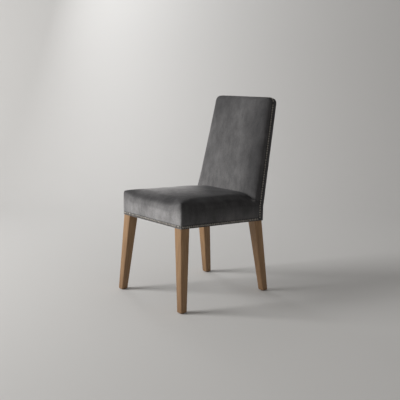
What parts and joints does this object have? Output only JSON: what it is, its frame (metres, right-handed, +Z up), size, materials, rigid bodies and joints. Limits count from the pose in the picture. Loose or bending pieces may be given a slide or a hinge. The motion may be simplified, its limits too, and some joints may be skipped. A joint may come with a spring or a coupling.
{
  "type": "upholstered dining chair",
  "caption": "High-backed upholstered dining chair on tapered oak legs, with a padded seat, a reclined padded back and rows of small nails along its edges.",
  "frame": {"origin": "on the floor, under the middle of the whole chair", "axes": "+Z up, the front of the seat faces -Y, +X to the right seen from the front"},
  "size_m": [0.5194, 0.6538, 0.9817],
  "materials": {
    "velvet": "charcoal grey cut-pile velvet, brushed",
    "oak": "oiled oak, straight grain, matte",
    "beech": "bare planed beech",
    "foam": "cream upholstery foam",
    "wadding": "white polyester wadding",
    "jute": "woven jute webbing and hessian",
    "dust_cloth": "black non-woven cloth",
    "board": "hardboard panel",
    "zinc_steel": "zinc plated",
    "nail_metal": "antiqued pewter nail heads",
    "glide_nylon": "dark nylon"
  },
  "bodies": {
    "root": {"back_foam": "foam", "back_hessian": "jute", "back_lower_rail": "beech", "back_top_rail": "beech", "back_wadding": "wadding", "back_webbing_1": "jute", "back_webbing_2": "jute", "back_webbing_3": "jute", "corner_block_front_left": "beech", "corner_block_front_right": "beech", "corner_block_rear_left": "beech", "corner_block_rear_right": "beech", "dust_cover": "dust_cloth", "front_glide_left": "glide_nylon", "front_glide_right": "glide_nylon", "front_left_block_screw_end": "zinc_steel", "front_left_block_screw_side": "zinc_steel", "front_leg_left": "oak", "front_leg_right": "oak", "front_right_block_screw_end": "zinc_steel", "front_right_block_screw_side": "zinc_steel", "inside_back_cover": "velvet", "leg_bolt_left": "zinc_steel", "leg_bolt_nut_left": "zinc_steel", "leg_bolt_nut_right": "zinc_steel", "leg_bolt_right": "zinc_steel", "leg_bolt_washer_left": "zinc_steel", "leg_bolt_washer_right": "zinc_steel", "nail_trim_back_left": "nail_metal", "nail_trim_back_right": "nail_metal", "nail_trim_back_top": "nail_metal", "nail_trim_front": "nail_metal", "nail_trim_left": "nail_metal", "nail_trim_rear": "nail_metal", "nail_trim_right": "nail_metal", "outside_back_board": "board", "outside_back_cover": "velvet", "rear_glide_left": "glide_nylon", "rear_glide_right": "glide_nylon", "rear_left_block_screw_end": "zinc_steel", "rear_left_block_screw_side": "zinc_steel", "rear_post_left": "oak", "rear_post_right": "oak", "rear_right_block_screw_end": "zinc_steel", "rear_right_block_screw_side": "zinc_steel", "seat_cover": "velvet", "seat_foam": "foam", "seat_hessian": "jute", "seat_rail_front": "beech", "seat_rail_left": "beech", "seat_rail_rear": "beech", "seat_rail_right": "beech", "seat_wadding": "wadding", "seat_webbing_crosswise_1": "jute", "seat_webbing_crosswise_2": "jute", "seat_webbing_crosswise_3": "jute", "seat_webbing_lengthwise_1": "jute", "seat_webbing_lengthwise_2": "jute", "seat_webbing_lengthwise_3": "jute"}
  },
  "joints": []
}
